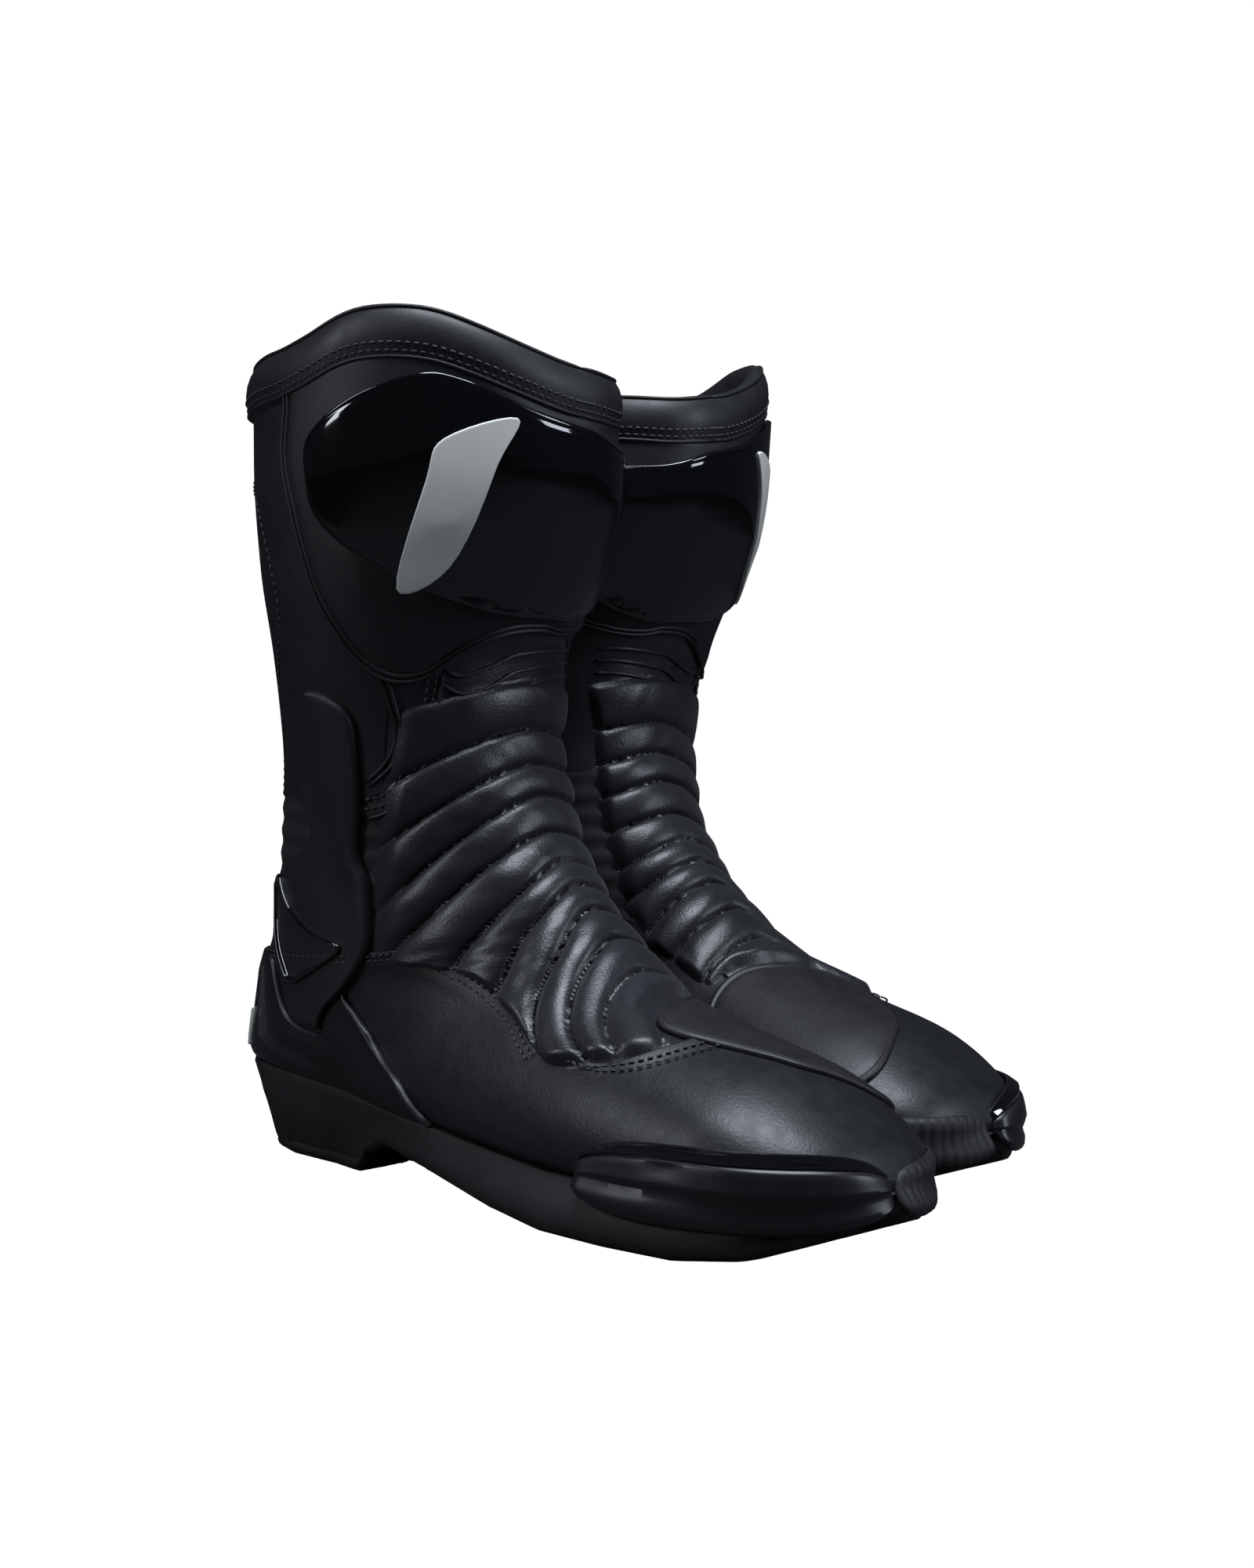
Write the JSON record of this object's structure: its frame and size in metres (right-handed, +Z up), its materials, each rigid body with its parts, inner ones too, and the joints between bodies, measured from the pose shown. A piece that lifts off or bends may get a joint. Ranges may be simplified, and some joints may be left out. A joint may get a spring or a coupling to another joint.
{
  "type": "riding boots",
  "caption": "Pair of tall sport riding boots with moulded shin plates, ankle braces, toe sliders, quilted instep flex panels and rear medial zips.",
  "frame": {"origin": "middle of the pair in plan, on the ground plane the soles stand on", "axes": "+X toward the toes, +Y toward the left boot, +Z up"},
  "size_m": [0.3572, 0.2674, 0.3226],
  "materials": {
    "sole_rubber": "matt moulded rubber",
    "board": "pressed cellulose board",
    "footbed_foam": "fabric-faced foam",
    "leather": "satin full-grain",
    "quilt_leather": "satin, padded and stitched",
    "lining_mesh": "spacer mesh",
    "gloss_tpu": "high gloss",
    "matte_tpu": "fine matt texture",
    "slider_tpu": "satin",
    "ivory_inlay": "satin",
    "pad_rubber": "fine ribbed",
    "stretch_fabric": "stretch weave",
    "zip_tape": "coil on woven tape",
    "zip_metal": "dark nickel",
    "flap_leather": "satin"
  },
  "bodies": {
    "right_foot": {"right_outsole": "sole_rubber", "right_insole_board": "board", "right_footbed": "footbed_foam", "right_vamp": "leather", "right_quarter_lateral": "leather", "right_quarter_medial": "leather", "right_foot_lining": "lining_mesh", "right_heel_cup": "gloss_tpu", "right_heel_insert": "ivory_inlay", "right_toe_slider": "slider_tpu", "right_toe_bumper": "sole_rubber", "right_shift_pad": "pad_rubber", "right_instep_quilt": "quilt_leather", "right_ankle_gusset": "stretch_fabric", "right_ankle_lining": "lining_mesh", "right_ankle_brace": "matte_tpu", "right_brace_insert": "gloss_tpu"},
    "right_shaft": {"right_shaft_lateral": "leather", "right_shaft_medial": "leather", "right_calf_panel": "stretch_fabric", "right_shaft_lining": "lining_mesh", "right_collar": "leather", "right_shin_frame": "matte_tpu", "right_shin_plate": "gloss_tpu", "right_shin_emblem": "ivory_inlay", "right_zip_track": "zip_tape"},
    "right_zip_slider_body": {"right_zip_slider": "zip_metal"},
    "right_zip_pull_body": {"right_zip_pull": "zip_metal"},
    "right_closure_flap_body": {"right_closure_flap": "flap_leather"},
    "left_foot": {"left_outsole": "sole_rubber", "left_insole_board": "board", "left_footbed": "footbed_foam", "left_vamp": "leather", "left_quarter_lateral": "leather", "left_quarter_medial": "leather", "left_foot_lining": "lining_mesh", "left_heel_cup": "gloss_tpu", "left_heel_insert": "ivory_inlay", "left_toe_slider": "slider_tpu", "left_toe_bumper": "sole_rubber", "left_shift_pad": "pad_rubber", "left_instep_quilt": "quilt_leather", "left_ankle_gusset": "stretch_fabric", "left_ankle_lining": "lining_mesh", "left_ankle_brace": "matte_tpu", "left_brace_insert": "gloss_tpu"},
    "left_shaft": {"left_shaft_lateral": "leather", "left_shaft_medial": "leather", "left_calf_panel": "stretch_fabric", "left_shaft_lining": "lining_mesh", "left_collar": "leather", "left_shin_frame": "matte_tpu", "left_shin_plate": "gloss_tpu", "left_shin_emblem": "ivory_inlay", "left_zip_track": "zip_tape"},
    "left_zip_slider_body": {"left_zip_slider": "zip_metal"},
    "left_zip_pull_body": {"left_zip_pull": "zip_metal"},
    "left_closure_flap_body": {"left_closure_flap": "flap_leather"}
  },
  "joints": [
    {"name": "left_boot_apart", "type": "slide", "parent": "right_foot", "child": "left_foot", "axis": [0, 1, 0], "range_m": [0, 0.3]},
    {"name": "right_ankle_flex", "type": "hinge", "parent": "right_foot", "child": "right_shaft", "pos_m": [-0.04714, -0.0556, 0.095], "axis": [0, 1, 0], "range_deg": [-8, 20], "stiffness_Nm_per_rad": 20, "deforming": ["right_instep_quilt", "right_ankle_gusset", "right_ankle_lining", "right_ankle_brace", "right_brace_insert"]},
    {"name": "right_zip_slide", "type": "slide", "parent": "right_shaft", "child": "right_zip_slider_body", "axis": [0, 0, 1], "range_m": [-0.065, 0]},
    {"name": "right_zip_pull_swing", "type": "hinge", "parent": "right_zip_slider_body", "child": "right_zip_pull_body", "pos_m": [-0.09907, -0.01408, 0.226], "axis": [0.7917, 0.6108, 0], "range_deg": [0, 60]},
    {"name": "right_flap_open", "type": "hinge", "parent": "right_shaft", "child": "right_closure_flap_body", "pos_m": [-0.10764, -0.0289, 0.26], "axis": [0, 0, 1], "range_deg": [0, 110]},
    {"name": "left_ankle_flex", "type": "hinge", "parent": "left_foot", "child": "left_shaft", "pos_m": [-0.08614, 0.0556, 0.095], "axis": [0, 1, 0], "range_deg": [-8, 20], "stiffness_Nm_per_rad": 20, "deforming": ["left_instep_quilt", "left_ankle_gusset", "left_ankle_lining", "left_ankle_brace", "left_brace_insert"]},
    {"name": "left_zip_slide", "type": "slide", "parent": "left_shaft", "child": "left_zip_slider_body", "axis": [0, 0, 1], "range_m": [-0.065, 0]},
    {"name": "left_zip_pull_swing", "type": "hinge", "parent": "left_zip_slider_body", "child": "left_zip_pull_body", "pos_m": [-0.13807, 0.01408, 0.226], "axis": [-0.7917, 0.6108, 0], "range_deg": [0, 60]},
    {"name": "left_flap_open", "type": "hinge", "parent": "left_shaft", "child": "left_closure_flap_body", "pos_m": [-0.14664, 0.0289, 0.26], "axis": [0, 0, -1], "range_deg": [0, 110]}
  ]
}
